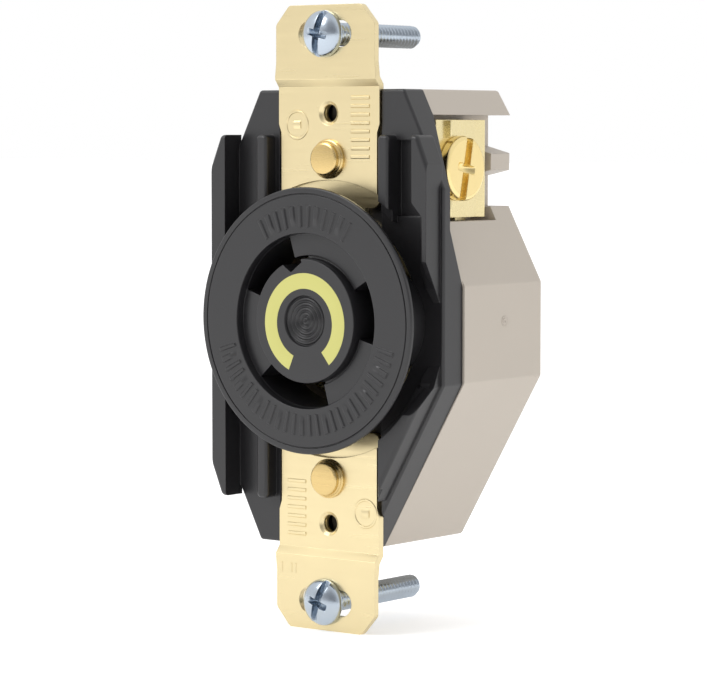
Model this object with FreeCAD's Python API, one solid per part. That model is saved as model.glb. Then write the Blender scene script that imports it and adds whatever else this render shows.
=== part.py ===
import FreeCAD, Part
import math
import os

# Single flush 20 A locking receptacle on a mounting strap.
# Millimetres.  +X right, -Y out of the face, +Z up.  The origin is midway between the two mounting
# screws, on the back face of the strap's ears, which is the plane that lies on the outlet box.

V = FreeCAD.Vector

# ---- driving dimensions -------------------------------------------------------------------------
STRAP_T = 1.0                 # strap sheet
EAR_HALF_W = 9.13             # ears outside the box
STRAP_HALF_W = 9.34           # strap next to the ears
WAIST_HALF_W = 8.9            # strap between the inner ribs
EAR_END = 45.91
EAR_CORNER_X = 6.66
EAR_CORNER_Z = 43.11
EAR_BEND_Z = 35.1             # the ear's flat ends here
STRAP_BEND_Z = 33.98          # and the strap's own flat starts here
STRAP_FRONT = -0.11           # front face of the strap between the bends
DISH_R = 20.4                 # the strap is pressed down inside this circle
DISH_FRONT = 0.6
MOUNT_Z = 41.67               # box screws, 83.34 mm apart
PLATE_HOLE_Z = 30.163         # wall plate screws, 60.33 mm apart
RIVET_Z = 23.46

FACE_FRONT = -5.82
FACE_R = 19.45
FLANGE_BACK = -5.15
BEAD_R = 18.6                 # step line inside the rim of the face
RECESS_R = 12.7               # annular recess that the blades enter
CORE_R = 9.1
LAND_Y = -4.42                # floor of that recess
NECK_R = 15.2
SPIGOT_R = 13.15
SLOT_OUT_R = 12.65
INSERT_Z = -0.4
INSERT_R = (5.1, 7.4)
INSERT_DEPTH = 0.8

COVER_FRONT = 0.3
COVER_PLATE = 1.8             # back of the cover's thin plate
COVER_BACK = 3.4              # back of its thick middle
PARTING = 4.9                 # cover and housing meet here
HOUSING_BACK = 24.6
HALF_H = 33.6                 # half height of the moulded body
FLOOR = 2.2                   # rear wall of the housing

RIB_OUT = (17.35, 19.95, -3.1)     # inner side, outer side, front
RIB_IN = (10.3, 12.3, -2.0)
RIB_END_Z = 27.0
RIB_FIN_X = 19.15             # beside the face only this outer skin of the rib is left
RIB_GAP_R = 24.5              # inside this circle
RIB_RAMPS_Z = (9.0, 3.0, -6.0, -13.0)  # beside the lug the outer ribs run out on two ramps

POCKET_X = 11.4               # inner wall of a terminal pocket
POCKET_Z = (14.4, 29.9)
POCKET_BACK = 19.5
SCREW_Z = 22.1                # terminal screw axis
SCREW_Y = 12.3
SCREW_R = 2.3                 # its thread
HEAD_R = 4.75
PLATE_X = (11.5, 12.7)        # terminal plate
CLAMP_X = (13.0, 14.3)        # clamp plate
TERMINAL_Z = (14.9, 29.2)     # both plates, bottom and top
BOX_SCREW_R = 1.72            # 6-32 box screw
BOX_HEAD_R = 3.43
FIT = 0.05                    # running clearance between bodies

os.makedirs("parts", exist_ok=True)


# ---- helpers ------------------------------------------------------------------------------------
def box(x0, x1, y0, y1, z0, z1):
    return Part.makeBox(x1 - x0, y1 - y0, z1 - z0, V(x0, y0, z0))


def rod(r, y0, y1, x=0.0, z=0.0):
    """Cylinder along Y."""
    return Part.makeCylinder(r, y1 - y0, V(x, y0, z), V(0, 1, 0))


def rod_x(r, x0, x1, y, z):
    """Cylinder along X."""
    return Part.makeCylinder(r, x1 - x0, V(x0, y, z), V(1, 0, 0))


def tube(r0, r1, y0, y1, x=0.0, z=0.0):
    return rod(r1, y0, y1, x, z).cut(rod(r0, y0 - 1, y1 + 1, x, z))


def prism(points, y0, y1):
    """Outline in X, Z carried along Y."""
    loop = [V(x, y0, z) for x, z in points]
    return Part.Face(Part.makePolygon(loop + loop[:1])).extrude(V(0, y1 - y0, 0))


def side_prism(points, x0, x1):
    """Outline in Y, Z carried along X."""
    loop = [V(x0, y, z) for y, z in points]
    return Part.Face(Part.makePolygon(loop + loop[:1])).extrude(V(x1 - x0, 0, 0))


def sector(r0, r1, a0, a1, y0, y1, x=0.0, z=0.0):
    """Annular sector between two angles in degrees, counted from +X towards +Z."""
    def at(r, a):
        return V(x + r * math.cos(math.radians(a)), y0, z + r * math.sin(math.radians(a)))
    mid = (a0 + a1) / 2
    edges = [Part.Arc(at(r1, a0), at(r1, mid), at(r1, a1)).toShape(),
             Part.LineSegment(at(r1, a1), at(r0, a1)).toShape(),
             Part.Arc(at(r0, a1), at(r0, mid), at(r0, a0)).toShape(),
             Part.LineSegment(at(r0, a0), at(r1, a0)).toShape()]
    return Part.Face(Part.Wire(edges)).extrude(V(0, y1 - y0, 0))


def join(shapes):
    solid = shapes[0].fuse(shapes[1:]) if len(shapes) > 1 else shapes[0]
    return solid.removeSplitter()


def round_edges(shape, radius, test):
    """Fillet the edges that pass the test, one by one where the whole set can't be done."""
    edges = [e for e in shape.Edges if test(e)]
    try:
        done = shape.makeFillet(radius, edges)
        if done.isValid() and done.Volume > 0:
            return done
    except Exception:
        pass
    for edge in edges:
        try:
            mid = edge.CenterOfMass
            near = [e for e in shape.Edges if e.CenterOfMass.distanceToPoint(mid) < 1e-4]
            done = shape.makeFillet(radius, near[:1])
            if done.isValid() and len(done.Solids) == 1:
                shape = done
        except Exception:
            continue
    return shape


def mirror_x(shape):
    return shape.mirror(V(0, 0, 0), V(1, 0, 0))


def mirror_z(shape):
    return shape.mirror(V(0, 0, 0), V(0, 0, 1))


def corner_set(shape):
    """The same shape at the three corners that have a terminal."""
    left = mirror_x(shape)
    return [shape, left, mirror_z(left)]


def save(name, shape):
    solids = shape.Solids
    assert solids and all(s.isValid() for s in solids), name
    out = solids[0] if len(solids) == 1 else Part.makeCompound(solids)
    out.exportStep("parts/" + name + ".step")
    b = out.BoundBox
    print(f"{name:26s} solids {len(solids)}  volume {out.Volume:9.1f}  X {b.XMin:7.2f} {b.XMax:7.2f}"
          f"  Y {b.YMin:6.2f} {b.YMax:6.2f}  Z {b.ZMin:7.2f} {b.ZMax:7.2f}")


# ---- outlines -----------------------------------------------------------------------------------
def terminal_corner(points):
    """One corner's points, upper right, repeated at the upper left and lower left."""
    upper_left = [(-x, z) for x, z in reversed(points)]
    lower_left = [(-x, -z) for x, z in points]
    return upper_left, lower_left


HOUSING_CORNER = [(20.95, 5.3), (15.0, 16.5), (15.3, 29.9), (13.0, HALF_H)]
COVER_CORNER = [(20.6, 19.3), (13.4, HALF_H)]
CAVITY_CORNER = [(18.9, 4.7), (14.4, 12.4), (7.2, 12.4), (7.2, 31.5)]
BACKING_CORNER = [(18.7, 4.6), (14.3, 12.2), (9.3, 12.2), (9.3, 31.3)]


def body_outline(corner, lower_right):
    upper_left, lower_left = terminal_corner(corner)
    return corner + upper_left + lower_left + lower_right


HOUSING_OUTLINE = body_outline(HOUSING_CORNER, [(6.5, -HALF_H), (20.95, -8.7)])
COVER_OUTLINE = body_outline(COVER_CORNER, [(6.5, -HALF_H), (20.6, -8.9)])
CAVITY_OUTLINE = body_outline(CAVITY_CORNER, [(5.4, -31.5), (18.9, -8.2)])
BACKING_OUTLINE = body_outline(BACKING_CORNER, [(5.2, -31.3), (18.7, -8.0)])
SKIRT_HOLE = body_outline([(18.6, 18.8), (12.1, 31.6)], [(5.4, -31.6), (18.6, -8.4)])


# ---- strap --------------------------------------------------------------------------------------
def mounting_strap():
    half = side_prism([(STRAP_FRONT, 12), (STRAP_FRONT, STRAP_BEND_Z), (-STRAP_T, EAR_BEND_Z),
                       (-STRAP_T, EAR_END), (0, EAR_END), (0, EAR_BEND_Z + 0.35),
                       (STRAP_FRONT + STRAP_T, STRAP_BEND_Z + 0.35), (STRAP_FRONT + STRAP_T, 12)],
                      -STRAP_HALF_W, STRAP_HALF_W)
    outline = [(STRAP_HALF_W, 28.6), (STRAP_HALF_W, 35.6), (EAR_HALF_W, 37.6),
               (EAR_HALF_W, EAR_CORNER_Z), (EAR_CORNER_X, EAR_END)]
    outline = [(WAIST_HALF_W, 12), (WAIST_HALF_W, 27.3)] + outline
    outline = outline + [(-x, z) for x, z in reversed(outline)]
    blank = round_edges(prism(outline, -3, 3), 0.9, lambda e: e.BoundBox.YLength > 5)
    half = half.common(blank)
    half = half.cut(rod(DISH_R, -3, 3))
    half = half.cut(box(-4.9 + 1.95, 4.9 - 1.95, -3, 3, MOUNT_Z - 1.95, MOUNT_Z + 1.95))
    half = half.cut(rod(1.95, -3, 3, -4.9 + 1.95, MOUNT_Z))
    half = half.cut(rod(1.95, -3, 3, 4.9 - 1.95, MOUNT_Z))
    half = half.cut(rod(1.35, -3, 3, 0, PLATE_HOLE_Z))
    rim = Part.makeCone(1.8, 1.35, 0.35, V(0, STRAP_FRONT, PLATE_HOLE_Z), V(0, 1, 0))
    half = half.cut(rim)
    half = half.cut(rod(2.0, -3, 3, 0, RIVET_Z))
    tab = box(-WAIST_HALF_W, WAIST_HALF_W, DISH_FRONT, DISH_FRONT + STRAP_T, 16.4, 22)
    tab = round_edges(tab, 1.4, lambda e: e.BoundBox.YLength > 0.9 and e.CenterOfMass.z < 17)
    tab = tab.common(rod(DISH_R + 0.5, -3, 3))
    neck = box(-6.2, 6.2, DISH_FRONT, DISH_FRONT + STRAP_T, 13.5, 17)
    upper = join([half, tab, neck])
    collar = tube(SPIGOT_R + 0.1, 15.9, DISH_FRONT, DISH_FRONT + STRAP_T)
    hole = rod(SPIGOT_R + 0.1, -3, 3)
    return join([upper, mirror_z(upper), collar]).cut(hole)


# ---- face ---------------------------------------------------------------------------------------
SLOTS = {"hot": (-14.5, 30.0), "ground": (108.0, 160.0), "neutral": (-137.0, -75.0)}


def face():
    ring = rod(FACE_R, FACE_FRONT, FLANGE_BACK)
    ring = round_edges(ring, 0.3, lambda e: e.CenterOfMass.y < FACE_FRONT + 0.1)
    ring = ring.cut(tube(BEAD_R - 0.22, BEAD_R, FACE_FRONT - 1, FACE_FRONT + 0.18))
    lugs = [rod(8.9, FLANGE_BACK - 0.5, COVER_FRONT, x, 0) for x in (-8.35, 8.35)]
    neck = rod(NECK_R, FLANGE_BACK - 0.5, DISH_FRONT)
    spigot = rod(SPIGOT_R, 0, COVER_BACK)
    solid = join([ring, neck, spigot] + lugs)
    solid = solid.cut(tube(CORE_R, RECESS_R, FACE_FRONT - 1, LAND_Y))
    solid = solid.cut(tube(CORE_R, CORE_R + 0.4, FACE_FRONT - 1, LAND_Y + 0.4))
    for first, last in SLOTS.values():
        solid = solid.cut(sector(CORE_R, SLOT_OUT_R, first, last, FACE_FRONT - 1, COVER_BACK + 1))
    hook = [(-4.6, 9.2), (-4.0, 8.1), (-2.5, 7.1), (-0.6, 8.6), (-0.75, 9.6), (-3.0, 10.2)]
    solid = solid.cut(prism(hook, FACE_FRONT - 1, COVER_BACK + 1))
    solid = solid.cut(insert_shape(INSERT_DEPTH))
    solid = solid.cut(rod(3.45, FACE_FRONT - 1, FACE_FRONT + 0.2))
    for r in (0.7, 1.35, 2.0, 2.65):
        solid = solid.cut(tube(r, r + 0.3, FACE_FRONT - 1, FACE_FRONT + 0.5))
    return solid


def insert_shape(depth):
    return sector(INSERT_R[0], INSERT_R[1], -52, 247, FACE_FRONT, FACE_FRONT + depth, 0, INSERT_Z)


# ---- cover --------------------------------------------------------------------------------------
def ribs():
    """Two upright ribs each side of the face; the outer one at the lower right follows the cut corner."""
    x0, x1, front = RIB_OUT
    turn_z = -9.1
    slope = (20.6 - 6.5) / (HALF_H - 8.9)
    low_x = x1 - (turn_z + RIB_END_Z) * slope
    upper = [(x1, 22.9), (x0 + 0.9, RIB_END_Z), (x0, RIB_END_Z)]
    straight = [(x0, -RIB_END_Z), (x0 + 0.9, -RIB_END_Z), (x1, -22.9)] + upper
    wide_x = 11.4
    bent = [(x0, turn_z), (wide_x, turn_z), (wide_x, turn_z - (x1 - wide_x) / slope), (x1, turn_z)] + upper
    xi0, xi1, inner_front = RIB_IN
    outside = prism([(x1, turn_z), (low_x, -RIB_END_Z), (25, -RIB_END_Z), (25, turn_z)], -9, 9)
    beside_face = rod(RIB_GAP_R, -9, -0.9).common(box(-RIB_FIN_X, RIB_FIN_X, -9, 9, turn_z, 25))
    z0, z1, z2, z3 = RIB_RAMPS_Z
    beside_lug = side_prism([(-9, z0), (front, z0), (COVER_FRONT, z1), (COVER_FRONT, z2), (front, z3),
                             (-9, z3)], wide_x - 1, 25)
    result = []
    for outline, left in ((bent, False), (straight, True)):
        outer = prism(outline, front, COVER_FRONT + 0.5)
        outer = round_edges(outer, 0.8, lambda e: e.BoundBox.YLength > 3 and e.CenterOfMass.z > 25)
        if left:
            outer = round_edges(outer, 0.8, lambda e: e.BoundBox.YLength > 3 and e.CenterOfMass.z < -25)
        outer = round_edges(outer, 0.6, is_front_edge)
        inner = box(xi0, xi1, inner_front, COVER_FRONT + 0.5, -RIB_END_Z, RIB_END_Z)
        inner = round_edges(inner, 0.7, lambda e: e.BoundBox.YLength > 2)
        inner = round_edges(inner, 0.5, is_front_edge)
        # the inner ribs step down around the face, and so does the outer one on the right
        inner = inner.cut(rod(DISH_R, -9, -0.9))
        if not left:
            outer = outer.cut(beside_face).cut(beside_lug).cut(rod(DISH_R, -9, -0.9))
        both = outer.fuse(inner).cut(rod(19.0, -9, COVER_FRONT))
        if not left:
            both = both.cut(outside).cut(box(-1, xi0, -9, 9, -40, 40))
        result.append(mirror_x(both) if left else both)
    return result


def is_front_edge(edge):
    return edge.BoundBox.YLength < 0.01 and edge.CenterOfMass.y < 0


def side_opening():
    """Where the cover's skirt is cut away over a terminal, upper right: the edges run down to the parting."""
    return side_prism([(PARTING + 1, 29.8), (PARTING, 29.8), (COVER_PLATE, 19.8),
                       (COVER_PLATE, 13.45), (PARTING, 5.1), (PARTING + 1, 5.1)], 9.4, 25)


def front_cover():
    shell = prism(COVER_OUTLINE, COVER_FRONT, PARTING)
    shell = round_edges(shell, 0.6, lambda e: e.BoundBox.YLength > 4)
    shell = round_edges(shell, 0.4, lambda e: e.BoundBox.YLength < 0.01
                        and e.CenterOfMass.y < COVER_FRONT + 0.1)
    shell = shell.cut(prism(SKIRT_HOLE, COVER_PLATE, 9))
    for cut in corner_set(side_opening()):
        shell = shell.cut(cut)
    backing = prism(BACKING_OUTLINE, COVER_PLATE, COVER_BACK)
    solid = join([shell, backing] + ribs())
    # channel for the strap, its dish and its collar
    channel = box(-9.5, 9.5, -5, STRAP_FRONT + STRAP_T, -HALF_H - 1, HALF_H + 1)
    dish = rod(DISH_R + 0.6, -5, DISH_FRONT + STRAP_T).common(box(-9.5, 9.5, -5, 5, -25, 25))
    solid = solid.cut(channel).cut(dish).cut(rod(16.1, -5, DISH_FRONT + STRAP_T))
    solid = solid.cut(rod(SPIGOT_R, -5, 9))
    # pockets between the ribs on each side, above and below the face
    pocket = box(RIB_IN[1], RIB_OUT[0], -5, COVER_PLATE - 0.6, 15.3, 26.3)
    solid = solid.cut(pocket)
    for z in (-RIVET_Z, RIVET_Z):
        solid = solid.cut(rod(1.6, -5, 9, 0, z))
    for z in (-PLATE_HOLE_Z, PLATE_HOLE_Z):
        solid = solid.cut(rod(2.2, -5, 9, 0, z))
    return solid.cut(ground_link())


# ---- housing ------------------------------------------------------------------------------------
def rear_housing():
    outer = prism(HOUSING_OUTLINE, PARTING, HOUSING_BACK)
    outer = round_edges(outer, 0.6, lambda e: e.BoundBox.YLength > 10)
    outer = round_edges(outer, 0.5, lambda e: e.BoundBox.YLength < 0.01
                        and e.CenterOfMass.y > HOUSING_BACK - 0.1)
    shell = outer.cut(prism(CAVITY_OUTLINE, 0, HOUSING_BACK - FLOOR))
    # the wall below each pocket comes forward under the cover
    cheek = prism(HOUSING_OUTLINE, COVER_PLATE, PARTING).cut(prism(CAVITY_OUTLINE, 0, 9))
    cheek = cheek.common(box(9.5, 20.55, 0, 9, 5.0, POCKET_Z[0])).common(side_opening())
    chamber = tube(13.4, 14.4, COVER_BACK, HOUSING_BACK - FLOOR)
    post = rod(8.5, COVER_BACK, HOUSING_BACK - FLOOR + 0.2)
    walls = [box(8.2, 13.7, COVER_BACK, HOUSING_BACK - FLOOR + 0.2, -0.6, 0.6) for _ in range(3)]
    for wall, angle in zip(walls, (67, 192, 318)):
        wall.rotate(V(0, 0, 0), V(0, 1, 0), -angle)
    bosses = [tube(1.6, 3.3, COVER_BACK, HOUSING_BACK - FLOOR + 0.2, 0, s * RIVET_Z) for s in (-1, 1)]
    bosses += [tube(2.2, 3.3, PARTING, HOUSING_BACK - FLOOR + 0.2, 0, s * PLATE_HOLE_Z) for s in (-1, 1)]
    solid = join([shell, chamber, post] + walls + bosses + corner_set(cheek))
    for cut in corner_set(pocket_cut()):
        solid = solid.cut(cut)
    for s in (-1, 1):
        solid = solid.cut(rod(1.6, 0, 30, 0, s * RIVET_Z))
        solid = solid.cut(rod(3.4, HOUSING_BACK - 1.4, 30, 0, s * RIVET_Z))
        solid = solid.cut(rod(2.2, 0, 18, 0, s * PLATE_HOLE_Z))
    # ways through the chamber wall for the contact tails
    solid = solid.cut(box(11.4, 13.8, 16.2, 17.5, 0.7, 12.4))
    solid = solid.cut(box(-13.0, -10.6, 16.2, 17.5, 4.5, 12.4))
    solid = solid.cut(box(-13.0, -4.2, 16.2, 17.5, -12.4, -10.2))
    return solid.cut(ground_link())


def pocket_cut():
    """The space of the upper right terminal: pocket, two wire entries, screw hole, tab slot."""
    z0, z1 = POCKET_Z
    pocket = box(POCKET_X, 25, 0, POCKET_BACK, z0, z1)
    low = prism([(11.0, 16.4), (11.0, 20.9), (15.6, 21.9), (19, 21.9), (19, 16.4)], 15, 30)
    high = prism([(11.0, 25.3), (11.0, z1), (19, z1), (19, 24.1), (15.6, 24.1)], 15, 30)
    screw = rod_x(2.9, 5.0, 12.0, SCREW_Y, SCREW_Z)
    slot = box(PLATE_X[0] - 0.05, PLATE_X[1] + 0.05, 13.8, 16.6, 10.9, 15.0)
    return join([pocket, low, high, screw]).fuse(slot)


# ---- contacts -----------------------------------------------------------------------------------
LEAF = 0.7


def contact(first, last, tail):
    """Two curved leaves that grip a blade, the floor that joins them and the tail to the terminal."""
    floor = (16.5, 17.3)
    inner = sector(9.5, 9.5 + LEAF, first, last, 5.5, floor[1])
    outer = sector(11.7, 11.7 + LEAF, first, last, 5.5, floor[1])
    flat = sector(9.5, 11.7 + LEAF, first, last, floor[0], floor[1])
    x0, x1, z0, z1 = tail
    return join([inner, outer, flat, box(x0, x1, floor[0], floor[1], z0, z1)])


CONTACTS = {"hot": (-11, 27, (11.5, 13.3, 0.8, 12.3)),
            "neutral": (-133, -79, (-12.7, -4.5, -12.3, -10.5)),
            "ground": (112, 156, (-12.7, -10.9, 5.0, 12.3))}


# ---- terminals ----------------------------------------------------------------------------------
def terminal_plate():
    x0, x1 = PLATE_X
    plate = box(x0, x1, 6.4, 18.4, TERMINAL_Z[0], TERMINAL_Z[1])
    plate = round_edges(plate, 0.3, lambda e: e.CenterOfMass.x > x1 - 0.01)
    tab = box(x0, x1, 13.9, 16.5, 11.0, 16)
    return join([plate, tab]).cut(rod_x(SCREW_R + FIT, 5, 15, SCREW_Y, SCREW_Z))


def clamp_plate():
    """Pressure plate with a flared rear lip and a groove for a wire on each side of the screw."""
    x0, x1 = CLAMP_X
    flare = 17.0
    section = [(x0, 7.0), (x1, 7.0), (x1, flare), (x1 + 0.7, 18.6), (x1 - 0.5, 18.6), (x0, flare)]
    loop = [V(x, y, TERMINAL_Z[0]) for x, y in section]
    height = TERMINAL_Z[1] - TERMINAL_Z[0]
    plate = Part.Face(Part.makePolygon(loop + loop[:1])).extrude(V(0, 0, height))
    plate = round_edges(plate, 0.3, lambda e: e.CenterOfMass.x > x1 - 0.05
                        and e.BoundBox.YLength < 0.01)
    for z in (18.4, 27.0):
        groove = Part.makeCylinder(1.6, 20, V(x0 - 1.1, 2, z), V(0, 1, 0))
        plate = plate.cut(groove)
    return plate.cut(rod_x(SCREW_R + 0.25, 5, 20, SCREW_Y, SCREW_Z))


def terminal_screw():
    head_x = CLAMP_X[1] + FIT
    head = rod_x(HEAD_R, head_x, head_x + 1.6, SCREW_Y, SCREW_Z)
    head = round_edges(head, 0.4, lambda e: e.CenterOfMass.x > head_x + 1)
    shank = rod_x(SCREW_R, 7.4, head_x + 0.2, SCREW_Y, SCREW_Z)
    solid = join([head, shank])
    slot = box(head_x + 0.7, head_x + 3, SCREW_Y - 0.65, SCREW_Y + 0.65, SCREW_Z - 6, SCREW_Z + 6)
    cross = box(head_x + 0.6, head_x + 3, SCREW_Y - 1.9, SCREW_Y + 1.9, SCREW_Z - 0.6, SCREW_Z + 0.6)
    return solid.cut(slot).cut(cross)


# ---- fasteners ----------------------------------------------------------------------------------
def mounting_screw():
    front = -STRAP_T - FIT
    head = rod(BOX_HEAD_R, front - 2.1, front, 0, MOUNT_Z)
    head = round_edges(head, 1.2, lambda e: e.CenterOfMass.y < front - 1)
    neck = rod(1.5, front - 0.5, 0.5, 0, MOUNT_Z)
    shank = rod(BOX_SCREW_R, 0.3, 21.0, 0, MOUNT_Z)
    shank = round_edges(shank, 0.6, lambda e: e.CenterOfMass.y > 20)
    solid = join([head, neck, shank])
    slot = box(-5, 5, front - 3, front - 1.3, MOUNT_Z - 0.45, MOUNT_Z + 0.45)
    cross = box(-0.5, 0.5, front - 3, front - 1.0, MOUNT_Z - 1.7, MOUNT_Z + 1.7)
    return solid.cut(slot).cut(cross)


def assembly_rivet():
    head = rod(2.45, STRAP_FRONT - 1.4, STRAP_FRONT, 0, RIVET_Z)
    head = round_edges(head, 0.25, lambda e: e.CenterOfMass.y < STRAP_FRONT - 1)
    flange = rod(2.9, STRAP_FRONT - 0.35, STRAP_FRONT, 0, RIVET_Z)
    neck = rod(2.0, STRAP_FRONT, STRAP_FRONT + STRAP_T, 0, RIVET_Z)
    shank = rod(1.6, 0, HOUSING_BACK - 1.0, 0, RIVET_Z)
    clinch = rod(2.9, HOUSING_BACK - 1.4, HOUSING_BACK - 0.4, 0, RIVET_Z)
    return join([head, flange, neck, shank, clinch])


LINK_T = 0.8


def ground_link():
    """The folded strip from the back of the strap to the ground terminal plate."""
    y0 = STRAP_FRONT + STRAP_T
    flat = box(-PLATE_X[0], -6.5, y0, y0 + LINK_T, 24.0, 28.0)
    leg = box(-PLATE_X[0], -PLATE_X[0] + LINK_T, y0, 9.5, 24.0, 28.0)
    return join([flat, leg])


# ---- write every node ---------------------------------------------------------------------------
save("mounting_strap", mounting_strap())
save("face", face())
save("rating_insert", insert_shape(INSERT_DEPTH))
save("front_cover", front_cover())
save("rear_housing", rear_housing())
save("ground_link", ground_link())

for name, (first, last, tail) in CONTACTS.items():
    save(name + "_contact", contact(first, last, tail))

for name, index in (("hot", 0), ("ground", 1), ("neutral", 2)):
    save(name + "_terminal_plate", corner_set(terminal_plate())[index])
    save(name + "_clamp_plate", corner_set(clamp_plate())[index])
    save(name + "_terminal_screw", corner_set(terminal_screw())[index])

save("upper_mounting_screw", mounting_screw())
save("lower_mounting_screw", mirror_z(mounting_screw()))
save("upper_rivet", assembly_rivet())
save("lower_rivet", mirror_z(assembly_rivet()))
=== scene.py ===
import math

import bmesh
import bpy
import numpy as np
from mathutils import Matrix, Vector


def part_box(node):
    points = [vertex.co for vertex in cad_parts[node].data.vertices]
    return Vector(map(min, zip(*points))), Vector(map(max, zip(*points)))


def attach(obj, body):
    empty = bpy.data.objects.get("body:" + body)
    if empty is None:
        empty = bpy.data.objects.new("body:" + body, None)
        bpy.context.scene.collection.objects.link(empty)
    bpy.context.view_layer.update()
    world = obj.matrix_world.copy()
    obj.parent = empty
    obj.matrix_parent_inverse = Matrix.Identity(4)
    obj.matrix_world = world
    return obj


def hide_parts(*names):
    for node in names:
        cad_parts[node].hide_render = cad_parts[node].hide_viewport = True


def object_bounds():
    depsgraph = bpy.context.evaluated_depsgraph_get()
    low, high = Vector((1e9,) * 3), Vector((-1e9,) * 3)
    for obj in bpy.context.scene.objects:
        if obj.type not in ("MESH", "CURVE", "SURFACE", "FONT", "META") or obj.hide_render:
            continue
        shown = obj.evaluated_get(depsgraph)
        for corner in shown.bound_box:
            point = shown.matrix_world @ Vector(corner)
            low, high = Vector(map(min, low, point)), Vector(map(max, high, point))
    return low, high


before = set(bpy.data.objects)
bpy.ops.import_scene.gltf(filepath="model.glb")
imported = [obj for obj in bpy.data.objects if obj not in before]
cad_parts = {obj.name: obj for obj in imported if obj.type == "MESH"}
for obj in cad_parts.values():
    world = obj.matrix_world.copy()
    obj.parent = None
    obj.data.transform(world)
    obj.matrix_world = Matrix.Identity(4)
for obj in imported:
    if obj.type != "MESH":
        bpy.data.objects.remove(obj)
cad_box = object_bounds()
MM = 0.001


# ---- rear housing -------------------------------------------------------------------------------
# The deep back half, moulded in beige glass-filled nylon.  Its flanks are lightly etched by the
# mould and it carries the contacts, the terminals and the rivets that hold everything together.
class Wire:
    """One output in a material's nodes.  Arithmetic on it adds Math nodes, and node() adds any other."""

    def __init__(self, tree, socket=None):
        self.tree = tree
        self.socket = socket

    def plug(self, value, target):
        if isinstance(value, Wire):
            self.tree.links.new(value.socket, target)
        else:
            target.default_value = value

    def node(self, kind, settings=None, sockets=None, out=0):
        """Adds a node: its settings come first, then the values or links of its sockets."""
        made = self.tree.nodes.new(kind)
        for name, value in (settings or {}).items():
            setattr(made, name, value)
        for key, value in (sockets or {}).items():
            self.plug(value, made.inputs[key])
        return Wire(self.tree, made.outputs[out])

    def maths(self, operation, *values):
        return self.node("ShaderNodeMath", {"operation": operation}, dict(enumerate(values)))

    def __add__(self, other):
        return self.maths("ADD", self, other)

    def __mul__(self, other):
        return self.maths("MULTIPLY", self, other)

    __radd__ = __add__
    __rmul__ = __mul__

    def mix(self, first, second):
        """Colour that goes from first to second as this value goes from 0 to 1."""
        return self.node("ShaderNodeMix", {"data_type": "RGBA"}, {0: self, 6: first, 7: second}, out=2)

    def noise(self, scale, detail, stretch=(1, 1, 1)):
        """Noise on the object's own coordinates, so many grains per metre, stretched along an axis."""
        place = self.node("ShaderNodeTexCoord", out=3)
        stretched = self.node("ShaderNodeMapping", None, {0: place, 3: stretch})
        return self.node("ShaderNodeTexNoise", None, {"Vector": stretched, "Scale": scale, "Detail": detail})


def finish(name, roughness, metallic=0.0):
    """A new material, its starting wire and its shader, whose plain values are set here."""
    material = bpy.data.materials.new(name)
    material.use_nodes = True
    tree = material.node_tree
    shader = tree.nodes["Principled BSDF"]
    shader.inputs["Roughness"].default_value = roughness
    shader.inputs["Metallic"].default_value = metallic
    return material, Wire(tree), shader


def tones(colour, spread):
    """The colour a little darker and a little lighter, by that share."""
    dark = tuple(c * (1 - spread) for c in colour) + (1,)
    light = tuple(min(1, c * (1 + spread)) for c in colour) + (1,)
    return dark, light


def rounded_bump(start, height, strength, edge):
    """Bump from a height, over a normal that rounds sharp edges by that many metres."""
    soft = start.node("ShaderNodeBevel", {"samples": 6}, {"Radius": edge})
    return start.node("ShaderNodeBump", None, {"Strength": strength, "Distance": 0.1 * MM,
                                               "Height": height, "Normal": soft})


def moulded_nylon(name, colour, spread, roughness, grain, edge):
    """Satin moulded nylon: cloudy colour from flow in the mould, and the fine texture of its steel."""
    material, start, shader = finish(name, roughness)
    cloud = start.noise(scale=90, detail=3)
    fine = start.noise(scale=3800, detail=2)
    start.plug(cloud.mix(*tones(colour, spread)), shader.inputs["Base Color"])
    start.plug(roughness - 0.06 + 0.12 * cloud, shader.inputs["Roughness"])
    start.plug(rounded_bump(start, fine, grain, edge), shader.inputs["Normal"])
    return material


def dress(material, *names):
    """Gives CAD nodes this material."""
    for name in names:
        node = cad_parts[name]
        node.data.materials.clear()
        node.data.materials.append(material)


beige = moulded_nylon("beige_nylon", (0.485, 0.432, 0.370), spread=0.03, roughness=0.45, grain=0.10,
                      edge=0.15 * MM)
dress(beige, "rear_housing")


def grid(points, wrap=True):
    """Corners and faces of a surface from rows of points, shape (rows, columns, 3): each cell is one
    quad, and the last column joins the first where the rows are rings."""
    rows, columns = points.shape[:2]
    i = np.arange(rows - 1)[:, None]
    j = np.arange(columns if wrap else columns - 1)[None, :]
    after = (j + 1) % columns
    quads = np.stack([i * columns + j, i * columns + after, (i + 1) * columns + after,
                      (i + 1) * columns + j], -1)
    return points.reshape(-1, 3), quads.reshape(-1, 4)


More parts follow.
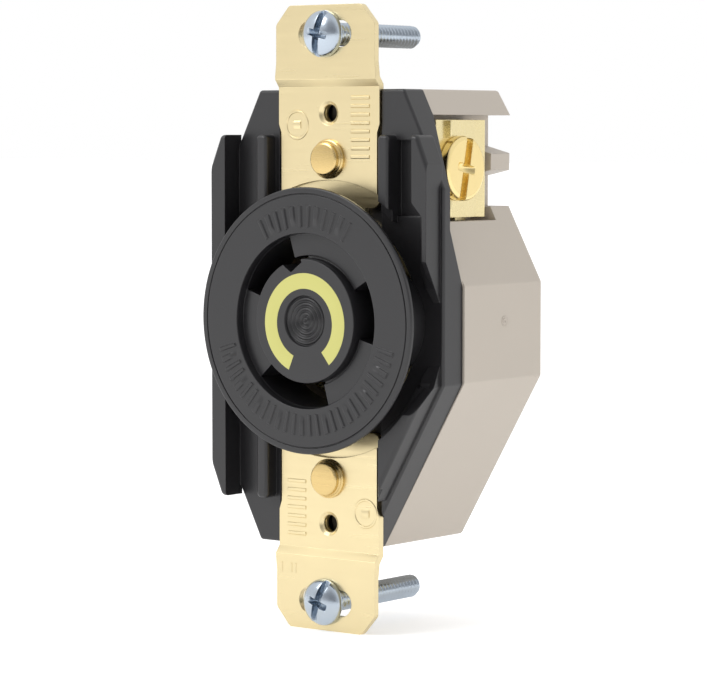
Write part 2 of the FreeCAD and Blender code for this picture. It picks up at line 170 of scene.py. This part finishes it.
def piece(name, surfaces, material, body, replaces=(), sharp=35):
    """One mesh from several surfaces in millimetres: doubled points are merged, which closes the seams
    and poles, faces are turned outwards, and edges sharper than the angle in degrees stay sharp."""
    count = 0
    corners, faces = [], []
    for points, quads in surfaces:
        corners.append(points)
        faces.append(quads + count)
        count += len(points)
    corners, faces = np.concatenate(corners) * MM, np.concatenate(faces)
    used, faces = np.unique(faces, return_inverse=True)
    mesh = bpy.data.meshes.new(name)
    mesh.from_pydata(corners[used].tolist(), [], faces.reshape(-1, 4).tolist())
    work = bmesh.new()
    work.from_mesh(mesh)
    bmesh.ops.remove_doubles(work, verts=work.verts, dist=0.0005 * MM)
    bmesh.ops.recalc_face_normals(work, faces=work.faces)
    work.to_mesh(mesh)
    work.free()
    mesh.polygons.foreach_set("use_smooth", [True] * len(mesh.polygons))
    mesh.set_sharp_from_angle(angle=math.radians(sharp))
    mesh.materials.append(material)
    made = bpy.data.objects.new(name, mesh)
    bpy.context.scene.collection.objects.link(made)
    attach(made, body)
    if replaces:
        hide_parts(*replaces)


def turned(profile, place, steps=96):
    """A profile of (radius, height) turned round its axis; place carries (u, v, height) to the part."""
    turn = np.linspace(0, 2 * np.pi, steps, endpoint=False)
    radius, height = profile[:, :1], profile[:, 1:]
    return grid(place(radius * np.cos(turn), radius * np.sin(turn), height + 0 * turn))


def front_axis(x, y, z):
    """Heights count out of the face, towards -Y, from the plane y."""
    def place(u, v, height):
        return np.stack([x + u, y - height, z + v], -1)
    return place


def side_axis(x, y, z, side):
    """Heights count outwards from the plane x, to the right where side is 1 and left where it is -1."""
    def place(u, v, height):
        return np.stack([x + side * height, y + side * u, z + v], -1)
    return place


GATE_R = 0.75
GATE_Y = 14.9
GATE_Z = -0.2
GATE_ROOT = -0.3               # how deep the mark's foot sits in the flank
flank_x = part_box("rear_housing")[1].x / MM
gate = np.array([(0, GATE_ROOT), (0, 0.02), (0.16, 0.02), (0.22, 0.10), (0.42, 0.10), (0.5, -0.02),
                 (GATE_R - 0.1, 0.0), (GATE_R, 0.05), (GATE_R + 0.06, GATE_ROOT), (0, GATE_ROOT)])
gate_place = side_axis(flank_x, GATE_Y, GATE_Z, 1)
piece("gate_mark", [turned(gate, gate_place, 32)], beige, "root")


# ---- contacts and terminals ---------------------------------------------------------------------
# Rolled brass strip: a sprung contact behind each slot, a plate in each pocket and a clamp plate over
# it, which the terminal screw draws down on the stripped wire.
def rolled_metal(name, colour, spread, roughness, scratch):
    """Rolled or cut metal: fine lines along X, a little uneven in colour and gloss."""
    material, start, shader = finish(name, roughness, metallic=1.0)
    lines = start.noise(scale=1500, detail=3, stretch=(0.06, 1, 1))
    cloud = start.noise(scale=120, detail=2)
    start.plug(cloud.mix(*tones(colour, spread)), shader.inputs["Base Color"])
    start.plug(roughness - 0.08 + 0.16 * lines, shader.inputs["Roughness"])
    start.plug(rounded_bump(start, lines, scratch, 0.1 * MM), shader.inputs["Normal"])
    return material


TERMINAL_SIDES = {"hot": 1, "ground": -1, "neutral": -1}      # 1 is the right flank, -1 the left
contact_brass = rolled_metal("contact_brass", (0.78, 0.67, 0.38), spread=0.06, roughness=0.26, scratch=0.12)
dress(contact_brass, "ground_link")
for circuit in TERMINAL_SIDES:
    dress(contact_brass, circuit + "_contact", circuit + "_terminal_plate", circuit + "_clamp_plate")


def smooth_step(value, middle, width):
    """0 below the middle and 1 above it, over that width."""
    part = np.clip((value - middle) / width + 0.5, 0, 1)
    return part * part * (3 - 2 * part)


def screw_head(profile, place, slot_angle, slot_half, slot_depth, wing_half, wing_reach, wing_depth):
    """A head's profile turned, then sunk by a straight slot across it and by four wings of a cross
    recess, whose floor is a parabola of the reach.  Points inside a slot go down to its floor, so the
    slot also opens the head's side."""
    side_slope = 0.12
    end_slope = 0.1
    turn = np.linspace(0, 2 * np.pi, 240, endpoint=False)
    radius, height = profile[:, :1], profile[:, 1:] + 0 * turn
    u, v = radius * np.cos(turn), radius * np.sin(turn)
    along = u * np.cos(slot_angle) + v * np.sin(slot_angle)
    across = v * np.cos(slot_angle) - u * np.sin(slot_angle)
    top = profile[:, 1].max()
    share = 1 - smooth_step(abs(across), slot_half, side_slope)
    height = height - share * np.maximum(height - (top - slot_depth), 0)
    reach = np.hypot(along, across)
    arm = np.minimum(abs(along), abs(across))
    floor_height = top - wing_depth * (1 - (reach / wing_reach) ** 2)
    share = (1 - smooth_step(arm, wing_half, side_slope)) * (1 - smooth_step(reach, wing_reach, end_slope))
    height = height - share * np.maximum(height - floor_height, 0)
    return grid(place(u, v, height))


def thread(major, minor, pitch, first, last, place):
    """A helical thread from one height to another: the radius is a flat-topped triangle wave of the
    height less the turn.  It fades towards the core within about a turn of both ends, and the last
    turn also tapers by a quarter."""
    turns = abs(last - first) / pitch
    height = np.linspace(first, last, int(turns * 10))[:, None]
    turn = np.linspace(0, 2 * np.pi, 48, endpoint=False)[None, :]
    phase = np.mod(height / pitch - turn / (2 * np.pi), 1)
    wave = np.clip(1.3 * abs(2 * phase - 1) - 0.12, 0, 1)
    from_head = abs(height - first) / pitch
    from_tip = abs(height - last) / pitch
    fade = np.clip(from_tip / 1.2, 0, 1) * np.clip(from_head + 0.4, 0, 1)
    taper = 1 - 0.25 * (1 - np.clip(from_tip, 0, 1))
    radius = (minor + (major - minor) * wave * fade) * taper
    body = np.stack([radius * np.cos(turn), radius * np.sin(turn), height + 0 * turn], -1)
    ends = [np.stack([0 * turn[0], 0 * turn[0], 0 * turn[0] + h], -1)[None] for h in (first, last)]
    body = np.concatenate([ends[0], body, ends[1]])
    return grid(place(body[..., 0], body[..., 1], body[..., 2]))


def fine_profile(corners, spacing):
    """The corners of a profile joined by straight runs, with points at about that spacing."""
    runs = []
    for start, end in zip(corners[:-1], corners[1:]):
        count = max(2, int(math.dist(start, end) / spacing) + 1)
        runs.append(np.linspace(start, end, count)[:-1])
    return np.concatenate(runs + [np.array(corners[-1:])])


def prism_bar(section, z_ends, inset):
    """A section of (x, y) points drawn out between two heights and closed at its ends, where it shrinks
    by the inset, as a share of its size, over that many millimetres."""
    section = np.array(section)
    middle = section.mean(0)
    rows = []
    low, high = z_ends
    for z, share in ((low, 0), (low, 1 - inset), (low + inset, 1),
                     (high - inset, 1), (high, 1 - inset), (high, 0)):
        outline = middle + (section - middle) * share
        rows.append(np.column_stack([outline, np.full(len(section), z)]))
    return grid(np.stack(rows))


STRIP_X = (14.1, 15.0)         # a raised strip on the clamp plate, broken by the screw head
STRIP_Y = (9.55, 9.95)
STRIP_BREAK_Z = (17.6, 26.6)
STRIP_MARGIN = 0.1
STRIP_INSET = 0.08
clamp_low, clamp_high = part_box("hot_clamp_plate")
strip = [(STRIP_X[0], STRIP_Y[0]), (STRIP_X[1], STRIP_Y[0]),
         (STRIP_X[1], STRIP_Y[1]), (STRIP_X[0], STRIP_Y[1])]
strip_parts = [prism_bar(strip, (clamp_low.z / MM + STRIP_MARGIN, STRIP_BREAK_Z[0]), STRIP_INSET),
               prism_bar(strip, (STRIP_BREAK_Z[1], clamp_high.z / MM - STRIP_MARGIN), STRIP_INSET)]
piece("hot_clamp_strip", strip_parts, contact_brass, "hot_clamp")

THREAD_PITCH = 0.794           # 32 threads to the inch
TERMINAL_HEAD_H = 1.6
screw_brass = rolled_metal("screw_brass", (0.86, 0.69, 0.33), spread=0.03, roughness=0.22, scratch=0.03)
screw_nickel = rolled_metal("screw_nickel", (0.72, 0.72, 0.70), spread=0.03, roughness=0.25, scratch=0.03)
screw_green = rolled_metal("screw_green", (0.08, 0.36, 0.14), spread=0.05, roughness=0.30, scratch=0.03)
SCREW_FINISHES = {"hot": (screw_brass, "brass_hardware"), "ground": (screw_green, "green_hardware"),
                  "neutral": (screw_nickel, "nickel_hardware")}
for circuit, side in TERMINAL_SIDES.items():
    low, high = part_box(circuit + "_terminal_screw")
    middle = (low + high) / 2 / MM
    inner, outer = (low.x, high.x) if side > 0 else (high.x, low.x)
    seat = outer / MM - side * TERMINAL_HEAD_H
    head_r = (high.z - low.z) / 2 / MM
    place = side_axis(seat, middle.y, middle.z, side)
    outline = fine_profile([(0, TERMINAL_HEAD_H), (head_r - 0.5, TERMINAL_HEAD_H), (head_r - 0.2, 1.52),
                            (head_r - 0.05, 1.35), (head_r, 1.1), (head_r, 0.12), (head_r - 0.12, 0),
                            (0, 0)], 0.11)
    length = abs(outer - inner) / MM - TERMINAL_HEAD_H
    head = screw_head(outline, place, slot_angle=math.radians(78), slot_half=0.72, slot_depth=1.1,
                      wing_half=0.55, wing_reach=2.1, wing_depth=1.5)
    shank = thread(major=2.3, minor=1.85, pitch=THREAD_PITCH, first=0.1, last=-length, place=place)
    metal, slot_name = SCREW_FINISHES[circuit]
    piece(circuit + "_screw", [head, shank], metal, circuit + "_screw",
          [circuit + "_terminal_screw"])


# ---- front cover --------------------------------------------------------------------------------
# The black moulding that closes the housing, made of the same nylon, with two upright ribs on each
# side of the strap.
black = moulded_nylon("black_nylon", (0.0115, 0.011, 0.0125), spread=0.10, roughness=0.36, grain=0.06,
                      edge=0.15 * MM)
black.node_tree.nodes["Principled BSDF"].inputs["Specular IOR Level"].default_value = 0.62
dress(black, "front_cover")


# ---- mounting strap -----------------------------------------------------------------------------
# Pressed from brass sheet, brushed before pressing.  Plain stamped rings and bars stand in relief
# beside the rivets.
strap_brass = rolled_metal("strap_brass", (0.765, 0.645, 0.385), spread=0.03, roughness=0.30, scratch=0.10)
dress(strap_brass, "mounting_strap")

STRAP_FRONT = -0.11
EAR_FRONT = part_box("mounting_strap")[0].y / MM
PLATE_HOLE_Z = 30.163
TAPPED = np.array([(1.36, -0.3), (1.22, -0.5), (1.36, -0.7), (1.36, -0.9), (1.22, -1.1), (1.36, -1.3),
                   (1.36, -1.5), (1.36, -1.7), (1.75, -1.7), (1.75, -0.3), (1.36, -0.3)])
MARK_HEIGHT = 0.1
RING_PLACES = ((-5.9, 28.45), (6.8, -28.2))
RING_R = 2.0
COLUMNS = ((5.85, 23.8, 32.4, 8), (-6.0, -32.0, -24.2, 7))      # x, first and last z, number of bars
EAR_BARS_X = (-8.2, -6.4, -5.6)
EAR_BARS_Z = -37.1


def ridge(path, width, height, plane):
    """A raised line along a path of (x, z): a low section is carried along it, with a width across the
    path and a height in front of the plane, and an open path's ends are pinched shut."""
    along = np.gradient(path, axis=0)
    along /= np.linalg.norm(along, axis=1)[:, None]
    across = np.stack([-along[:, 1], along[:, 0]], -1)
    section = np.array([(-0.5, -0.6), (-0.5, 0), (-0.3, 1), (0.3, 1), (0.5, 0), (0.5, -0.6)])
    swell = np.ones(len(path))
    if math.dist(path[0], path[-1]) > 0.01:
        swell[[0, -1]] = 0
    place = path[:, None] + across[:, None] * (section[:, :1] * width) * swell[:, None, None]
    y = plane - section[:, 1] * height + 0 * place[..., 0]
    return grid(np.stack([place[..., 0], y, place[..., 1]], -1))


def stamped_ring(x, z, radius):
    """A full circle round (x, z) on the front of the strap."""
    turn = np.linspace(0, 2 * np.pi, 73)
    path = np.stack([x + radius * np.cos(turn), z + radius * np.sin(turn)], -1)
    return ridge(path, 0.42, MARK_HEIGHT, STRAP_FRONT)


def stamped_bar(x, z, half_x, half_z, plane, width):
    """A straight bar with its middle at (x, z) and square ends, half its length given along each way."""
    t = np.array([-1, -0.999, 0, 0.999, 1])
    return ridge(np.stack([x + half_x * t, z + half_z * t], -1), width, MARK_HEIGHT, plane)


marks = [stamped_ring(x, z, RING_R) for x, z in RING_PLACES]
marks += [stamped_bar(x, z, half_x=0.7, half_z=0, plane=STRAP_FRONT, width=1.3) for x, z in RING_PLACES]
for column_x, first_z, last_z, count in COLUMNS:
    marks += [stamped_bar(column_x, z, half_x=1.7, half_z=0, plane=STRAP_FRONT, width=0.55)
              for z in np.linspace(first_z, last_z, count)]
marks += [stamped_bar(x, EAR_BARS_Z, half_x=0, half_z=0.7, plane=EAR_FRONT, width=0.4) for x in EAR_BARS_X]
piece("strap_marks", marks, strap_brass, "root")
for end, hole_z in (("upper", PLATE_HOLE_Z), ("lower", -PLATE_HOLE_Z)):
    sleeve = turned(TAPPED, front_axis(0, STRAP_FRONT, hole_z), 64)
    piece("tapped_hole_" + end, [sleeve], strap_brass, "root")


# ---- face ---------------------------------------------------------------------------------------
# The round black moulding that the plug meets: a thin flange on a neck with two side lugs, and inside
# it the recess, the three curved slots and the core.
face_low, face_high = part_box("face")
FACE_FRONT = face_low.y / MM
FACE_BACK = face_high.y / MM
FACE_R = face_high.x / MM
FLANGE_BACK = -5.15
NECK_R = 15.2
NECK_BACK = 0.6
SPIGOT_R = 13.15
CORE_R = 9.1
GROOVE_R = 9.5                 # narrow groove round the core
GROOVE_DEPTH = 0.4
RECESS_R = 12.74
LAND = -4.42
WALL = 0.04                    # half the slope of a moulded wall
EDGE = 0.12                    # how far a front corner is broken
SLOT_R = 12.6
SLOT_ENDS = ((-14.5, 30.0), (108.0, 160.0), (223.0, 285.0))      # first and last angle, in degrees
HOOK = ((-4.6, 9.2), (-4.0, 8.1), (-2.5, 7.1), (-0.6, 8.6), (-0.75, 9.6), (-3.0, 10.2))
RIPPLE_R = 3.75                # shallow rings in the middle of the core
RIPPLE_PITCH = 0.72
RIPPLE_DEPTH = 0.35
STEP_R = 18.6                  # a shallow line runs inside this circle
LINE_DEPTH = 0.18
PAD_R = (13.7, 16.7)           # short raised pads round the flange, every third one wide and shorter
PAD_HEIGHT = 0.2
PAD_PITCH = 5.5
PAD_ARCS = ((57, 123), (194, 348))
LUG_X = 8.35
LUG_R = 8.9
LUG_BACK = 0.3


def inside(outline, x, z):
    """Whether points lie inside a convex outline, whose corners run anticlockwise seen from the front:
    such a point is to the left of every edge."""
    result = np.ones_like(x, bool)
    for (x0, z0), (x1, z1) in zip(outline, outline[1:] + outline[:1]):
        result &= (x1 - x0) * (z - z0) - (z1 - z0) * (x - x0) >= 0
    return result


def face_surfaces():
    """Rings of points from the middle of the front, over the rim, round the flange and neck to the
    middle of the back.  A slot takes its points down to the back, where its floor is left out."""
    ripple = np.linspace(0, RIPPLE_R + 0.1, 44)
    core = np.concatenate([np.linspace(4.0, 7.0, 5), np.linspace(7.1, CORE_R - 0.2, 14),
                           [CORE_R - EDGE, CORE_R - WALL]])
    groove = np.array([CORE_R + WALL, (CORE_R + GROOVE_R) / 2, GROOVE_R - WALL, GROOVE_R + WALL])
    land = np.concatenate([np.linspace(9.9, 12.3, 7), [SLOT_R - 0.02, SLOT_R + 0.06, RECESS_R - WALL]])
    ring = np.concatenate([[RECESS_R + WALL, RECESS_R + EDGE, 13.0, PAD_R[0] - 0.1],
                           np.linspace(PAD_R[0], PAD_R[1], 7),
                           [PAD_R[1] + 0.1, 17.6, STEP_R - 0.24, STEP_R - 0.18, STEP_R - 0.06, STEP_R, 18.8]])
    front = np.concatenate([ripple, core, groove, land, ring])
    level = np.full_like(front, FACE_FRONT)
    dish = np.clip((RIPPLE_R - front) / 0.2, 0, 1)
    level += dish * RIPPLE_DEPTH * (1 + 0.45 * np.cos(2 * np.pi * front / RIPPLE_PITCH))
    level += EDGE * (front > CORE_R - 0.1) * (front < CORE_R)
    level[front > CORE_R] = LAND + GROOVE_DEPTH
    level[front > GROOVE_R] = LAND
    level[front > RECESS_R] = FACE_FRONT + EDGE
    level[front > RECESS_R + 0.1] = FACE_FRONT
    level[(front > STEP_R - 0.2) & (front < STEP_R - 0.01)] = FACE_FRONT + LINE_DEPTH
    rim_r = 0.25
    bend = np.linspace(0, np.pi / 2, 7)
    rim = np.stack([FACE_R - rim_r + rim_r * np.sin(bend), FACE_FRONT + rim_r * (1 - np.cos(bend))], -1)
    back = np.array([(FACE_R, FLANGE_BACK - 0.1), (FACE_R - 0.1, FLANGE_BACK), (NECK_R + 0.2, FLANGE_BACK),
                     (NECK_R, FLANGE_BACK + 0.2), (NECK_R, NECK_BACK), (SPIGOT_R, NECK_BACK),
                     (SPIGOT_R, FACE_BACK)])
    slotted = front[(front > 6.9) & (front < 12.7)][::-1]
    rows = np.concatenate([np.stack([front, level], -1), rim, back,
                           np.stack([slotted, np.full_like(slotted, FACE_BACK)], -1), [(0, FACE_BACK)]])
    turn = np.radians(np.arange(0, 360, 0.5))
    radius = rows[:, :1] + 0 * turn
    y = rows[:, 1:] + 0 * turn
    x, z = radius * np.cos(turn), radius * np.sin(turn)
    degrees = np.degrees(turn)[None, :]
    open_here = np.zeros_like(x, bool)
    for first, last in SLOT_ENDS:
        between = np.mod(degrees - first, 360) <= last - first + 0.01
        open_here |= between & (radius > CORE_R) & (radius < SLOT_R)
    open_here |= inside(HOOK, x, z) & (radius < GROOVE_R)
    y = np.where(open_here, FACE_BACK, y)
    for first, last in PAD_ARCS:
        wide = np.mod(np.floor((degrees - first) / PAD_PITCH), 3) == 1
        from_middle = abs(np.mod(degrees - first, PAD_PITCH) - PAD_PITCH / 2)
        half = np.where(wide, 1.6, 0.8)      # degrees
        low = np.where(wide, PAD_R[0] + 1.0, PAD_R[0])
        pad = (degrees > first) & (degrees < last) & (from_middle <= half)
        pad = pad & (radius >= low - 0.01) & (radius <= PAD_R[1] + 0.01) & (y < FACE_FRONT + 0.01)
        y = y - PAD_HEIGHT * pad
    points, quads = grid(np.stack([x, y, z], -1))
    closed = ~open_here.reshape(-1)[quads].all(1)
    return [(points, quads[closed]), lug(1), lug(-1)]


def lug(side):
    """The part of a round side lug that stands out of the neck: rows run from end to end, and each is
    a ring from the neck out to the lug's rim, back along its wall and home inside the neck."""
    steps = 90
    core_r = NECK_R - 0.2
    reach = math.acos((core_r ** 2 - LUG_X ** 2 - LUG_R ** 2) / (2 * LUG_X * LUG_R))
    turn = np.linspace(-reach, reach, steps)
    x, z = LUG_X + LUG_R * np.cos(turn), LUG_R * np.sin(turn)
    home = np.linspace(math.atan2(z[0], x[0]), math.atan2(z[-1], x[-1]), steps)
    neck_x, neck_z = core_r * np.cos(home), core_r * np.sin(home)
    front, back = np.full(steps, FLANGE_BACK - 0.1), np.full(steps, LUG_BACK)
    ring = [(x, front, z), (x, back, z), (neck_x, back, neck_z), (neck_x, front, neck_z)]
    return grid(np.stack([np.stack([side * a, b, c], -1) for a, b, c in ring], 1))


piece("face_moulding", face_surfaces(), black, "root", ["face"], sharp=40)


# ---- rating insert ------------------------------------------------------------------------------
# A yellow horseshoe let into the front of the core as a colour code, moulded in nylon like the face
# and standing just proud of it.
yellow = moulded_nylon("yellow_nylon", (0.56, 0.54, 0.165), spread=0.02, roughness=0.40, grain=0.06,
                       edge=0.05 * MM)
insert_low, insert_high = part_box("rating_insert")
INSERT_R = (5.1, 7.4)
INSERT_ENDS = (-52.0, 247.0)
ARC_STEPS = 150
insert_z = insert_high.z / MM - INSERT_R[1]


def horseshoe(inset, y):
    """The outline at one depth: outer arc, end, inner arc, end, drawn in by the inset."""
    swing = math.degrees(inset / sum(INSERT_R) * 2)
    out = np.radians(np.linspace(INSERT_ENDS[0] + swing, INSERT_ENDS[1] - swing, ARC_STEPS))
    turn = np.concatenate([out, out[::-1]])
    radius = np.repeat([INSERT_R[1] - inset, INSERT_R[0] + inset], ARC_STEPS)
    return np.stack([radius * np.cos(turn), np.full_like(turn, y), insert_z + radius * np.sin(turn)], -1)


insert_front = insert_low.y / MM
rounding = [horseshoe(0, insert_high.y / MM), horseshoe(0, insert_front + 0.02),
            horseshoe(0.03, insert_front - 0.02), horseshoe(0.08, insert_front - 0.03)]
insert_surfaces = [grid(np.stack(rounding))]
for outline in (rounding[-1], rounding[0]):
    outer_arc, inner_arc = outline.reshape(2, ARC_STEPS, 3)
    insert_surfaces.append(grid(np.stack([outer_arc, inner_arc[::-1]]), wrap=False))
piece("insert", insert_surfaces, yellow, "root", ["rating_insert"])


# ---- rivets -------------------------------------------------------------------------------------
# Two brass rivets pass through strap, cover and housing.  The head stands on a flange, and the other
# end is headed over behind the housing.
rivet_brass = rolled_metal("rivet_brass", (0.68, 0.50, 0.22), spread=0.05, roughness=0.26, scratch=0.03)
RIVET_FLANGE_R = 2.9
RIVET_SHANK_R = 1.6
RIVET_TAIL_H = 0.9
for end in ("upper", "lower"):
    low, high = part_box(end + "_rivet")
    middle_z = (low.z + high.z) / 2 / MM
    tail = -high.y / MM
    profile = np.array([(0, 1.40), (2.0, 1.40), (2.25, 1.36), (2.40, 1.26), (2.45, 1.10), (2.45, 0.72),
                        (2.52, 0.66), (2.60, 0.60), (2.66, 0.50), (2.62, 0.42), (2.80, 0.36),
                        (RIVET_FLANGE_R, 0.28), (RIVET_FLANGE_R, 0.0), (RIVET_SHANK_R, 0.0),
                        (RIVET_SHANK_R, tail + RIVET_TAIL_H), (RIVET_FLANGE_R, tail + RIVET_TAIL_H),
                        (RIVET_FLANGE_R, tail + 0.2), (2.5, tail), (0, tail)])
    rivet = turned(profile, front_axis(0, STRAP_FRONT, middle_z))
    piece(end + "_rivet_head", [rivet], rivet_brass, "root", [end + "_rivet"])


# ---- mounting screws ----------------------------------------------------------------------------
# 6-32 machine screws, zinc plated, with pan heads that take a blade or a cross driver.  They hold
# the strap's ears to the box, and turn freely in their slots.
zinc = rolled_metal("zinc", (0.46, 0.52, 0.59), spread=0.08, roughness=0.22, scratch=0.05)
BOX_HEAD_H = 2.1
BOX_HEAD_R = 3.43
BOX_RIM_H = 0.35
SLOT_TILTS = {"upper": 77, "lower": 70}      # degrees from level
for end, tilt in SLOT_TILTS.items():
    low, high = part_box(end + "_mounting_screw")
    middle_z = (low.z + high.z) / 2 / MM
    seat = low.y / MM + BOX_HEAD_H
    place = front_axis(0, seat, middle_z)
    bend = np.linspace(0, np.pi / 2, 18)      # the dome is a little fuller than a quarter ellipse
    dome = np.stack([BOX_HEAD_R * np.sin(bend),
                     BOX_RIM_H + (BOX_HEAD_H - BOX_RIM_H) * np.cos(bend) ** 0.9], -1)
    outline = fine_profile([tuple(c) for c in dome] + [(BOX_HEAD_R, 0.2), (3.3, 0), (0, 0)], 0.1)
    head = screw_head(outline, place, slot_angle=math.radians(tilt), slot_half=0.50, slot_depth=1.6,
                      wing_half=0.42, wing_reach=1.8, wing_depth=2.6)
    length = high.y / MM - seat
    shank = thread(major=1.72, minor=1.32, pitch=THREAD_PITCH, first=0.1, last=-length, place=place)
    piece(end + "_box_screw", [head, shank], zinc, end + "_screw", [end + "_mounting_screw"])


# ---- studio -------------------------------------------------------------------------------------
# A pale floor under the strap's lower end, a white surround that turns grey towards the front, and one
# soft lamp in front at the upper left.
scene = bpy.context.scene
scene.view_settings.view_transform = "Standard"
CAMERA_TARGET = Vector((5.309, -1.0, -2.634)) * MM
CAMERA_AZIMUTH = 37.881
CAMERA_ELEVATION = 3.792
CAMERA_DISTANCE = 450.2 * MM
CAMERA_LENS = 157.6

azimuth, elevation = math.radians(CAMERA_AZIMUTH), math.radians(CAMERA_ELEVATION)
back = Vector((math.sin(azimuth) * math.cos(elevation), -math.cos(azimuth) * math.cos(elevation),
               math.sin(elevation)))
camera_data = bpy.data.cameras.new("camera")
camera_data.lens = CAMERA_LENS
camera_data.sensor_width = 36
camera = bpy.data.objects.new("camera", camera_data)
camera.location = CAMERA_TARGET + back * CAMERA_DISTANCE
camera.rotation_euler = (-back).to_track_quat("-Z", "Y").to_euler()
camera_data.clip_start = 0.01
camera_data.clip_end = 50
scene.collection.objects.link(camera)
scene.camera = camera

FLOOR_HALF = 6.0
floor_mesh = bpy.data.meshes.new("floor")
low = cad_box[0].z
floor_mesh.from_pydata([(-FLOOR_HALF, -FLOOR_HALF, low), (FLOOR_HALF, -FLOOR_HALF, low),
                        (FLOOR_HALF, FLOOR_HALF, low), (-FLOOR_HALF, FLOOR_HALF, low)], [], [(0, 1, 2, 3)])
floor = bpy.data.objects.new("floor", floor_mesh)
scene.collection.objects.link(floor)
floor_finish, _, floor_shader = finish("floor_paper", 0.9)
floor_shader.inputs["Base Color"].default_value = (0.93, 0.93, 0.93, 1)
floor_shader.inputs["Emission Color"].default_value = (1, 1, 1, 1)
floor_shader.inputs["Emission Strength"].default_value = 0.32
floor_mesh.materials.append(floor_finish)

world = bpy.data.worlds.new("surround")
world.use_nodes = True
surround = Wire(world.node_tree)
direction = surround.node("ShaderNodeTexCoord")
frontal = surround.node("ShaderNodeVectorMath", {"operation": "DOT_PRODUCT"},
                        {0: direction, 1: (0.35, -0.93, -0.1)}, out=1)
shade = surround.node("ShaderNodeMapRange", {"interpolation_type": "SMOOTHSTEP"},
                      {0: frontal, 1: 0.2, 2: 1.1, 3: 0.0, 4: 1.0})
background = world.node_tree.nodes["Background"]
surround.plug(shade.mix((1, 1, 1, 1), (0.30, 0.30, 0.31, 1)), background.inputs["Color"])
scene.world = world

key_data = bpy.data.lights.new("key", "AREA")
key_data.size = 0.6
key_data.energy = 6
key = bpy.data.objects.new("key", key_data)
key.location = (-0.5, -0.9, 0.8)
key.rotation_euler = (-key.location).to_track_quat("-Z", "Y").to_euler()
scene.collection.objects.link(key)
